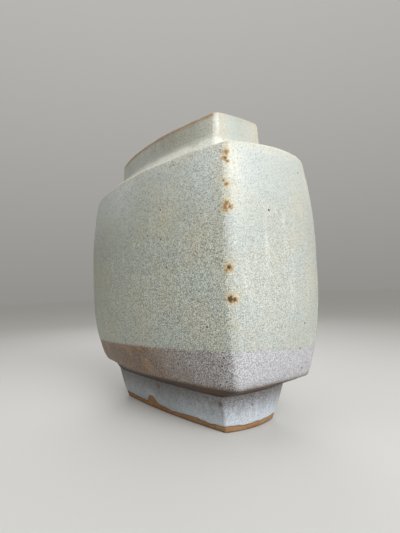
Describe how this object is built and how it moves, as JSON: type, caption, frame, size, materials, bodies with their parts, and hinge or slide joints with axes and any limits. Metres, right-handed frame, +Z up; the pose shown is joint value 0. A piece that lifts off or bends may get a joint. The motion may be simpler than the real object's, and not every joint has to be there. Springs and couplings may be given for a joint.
{
  "type": "pillow vase",
  "caption": "Slab-built stoneware pillow vase with bowed mitred walls, a narrow rectangular neck and a tapered foot, in speckled grey-green glaze.",
  "frame": {"origin": "middle of the footprint at table height", "axes": "+X along the broad walls, -Y out of the front wall, +Z up"},
  "size_m": [0.1626, 0.0846, 0.16],
  "materials": {
    "body_glaze": "satin speckled glaze",
    "foot_glaze": "satin streaky glaze, bare clay at the table",
    "bare_clay": "thin glaze over fired clay"
  },
  "bodies": {
    "root": {"front_wall": "body_glaze", "back_wall": "body_glaze", "right_end_wall": "body_glaze", "left_end_wall": "body_glaze", "floor_slab": "bare_clay", "shoulder_slab": "body_glaze", "neck_front": "body_glaze", "neck_back": "body_glaze", "neck_right": "body_glaze", "neck_left": "body_glaze", "neck_seam_coil": "body_glaze", "foot_front": "foot_glaze", "foot_back": "foot_glaze", "foot_right": "foot_glaze", "foot_left": "foot_glaze"}
  },
  "joints": []
}
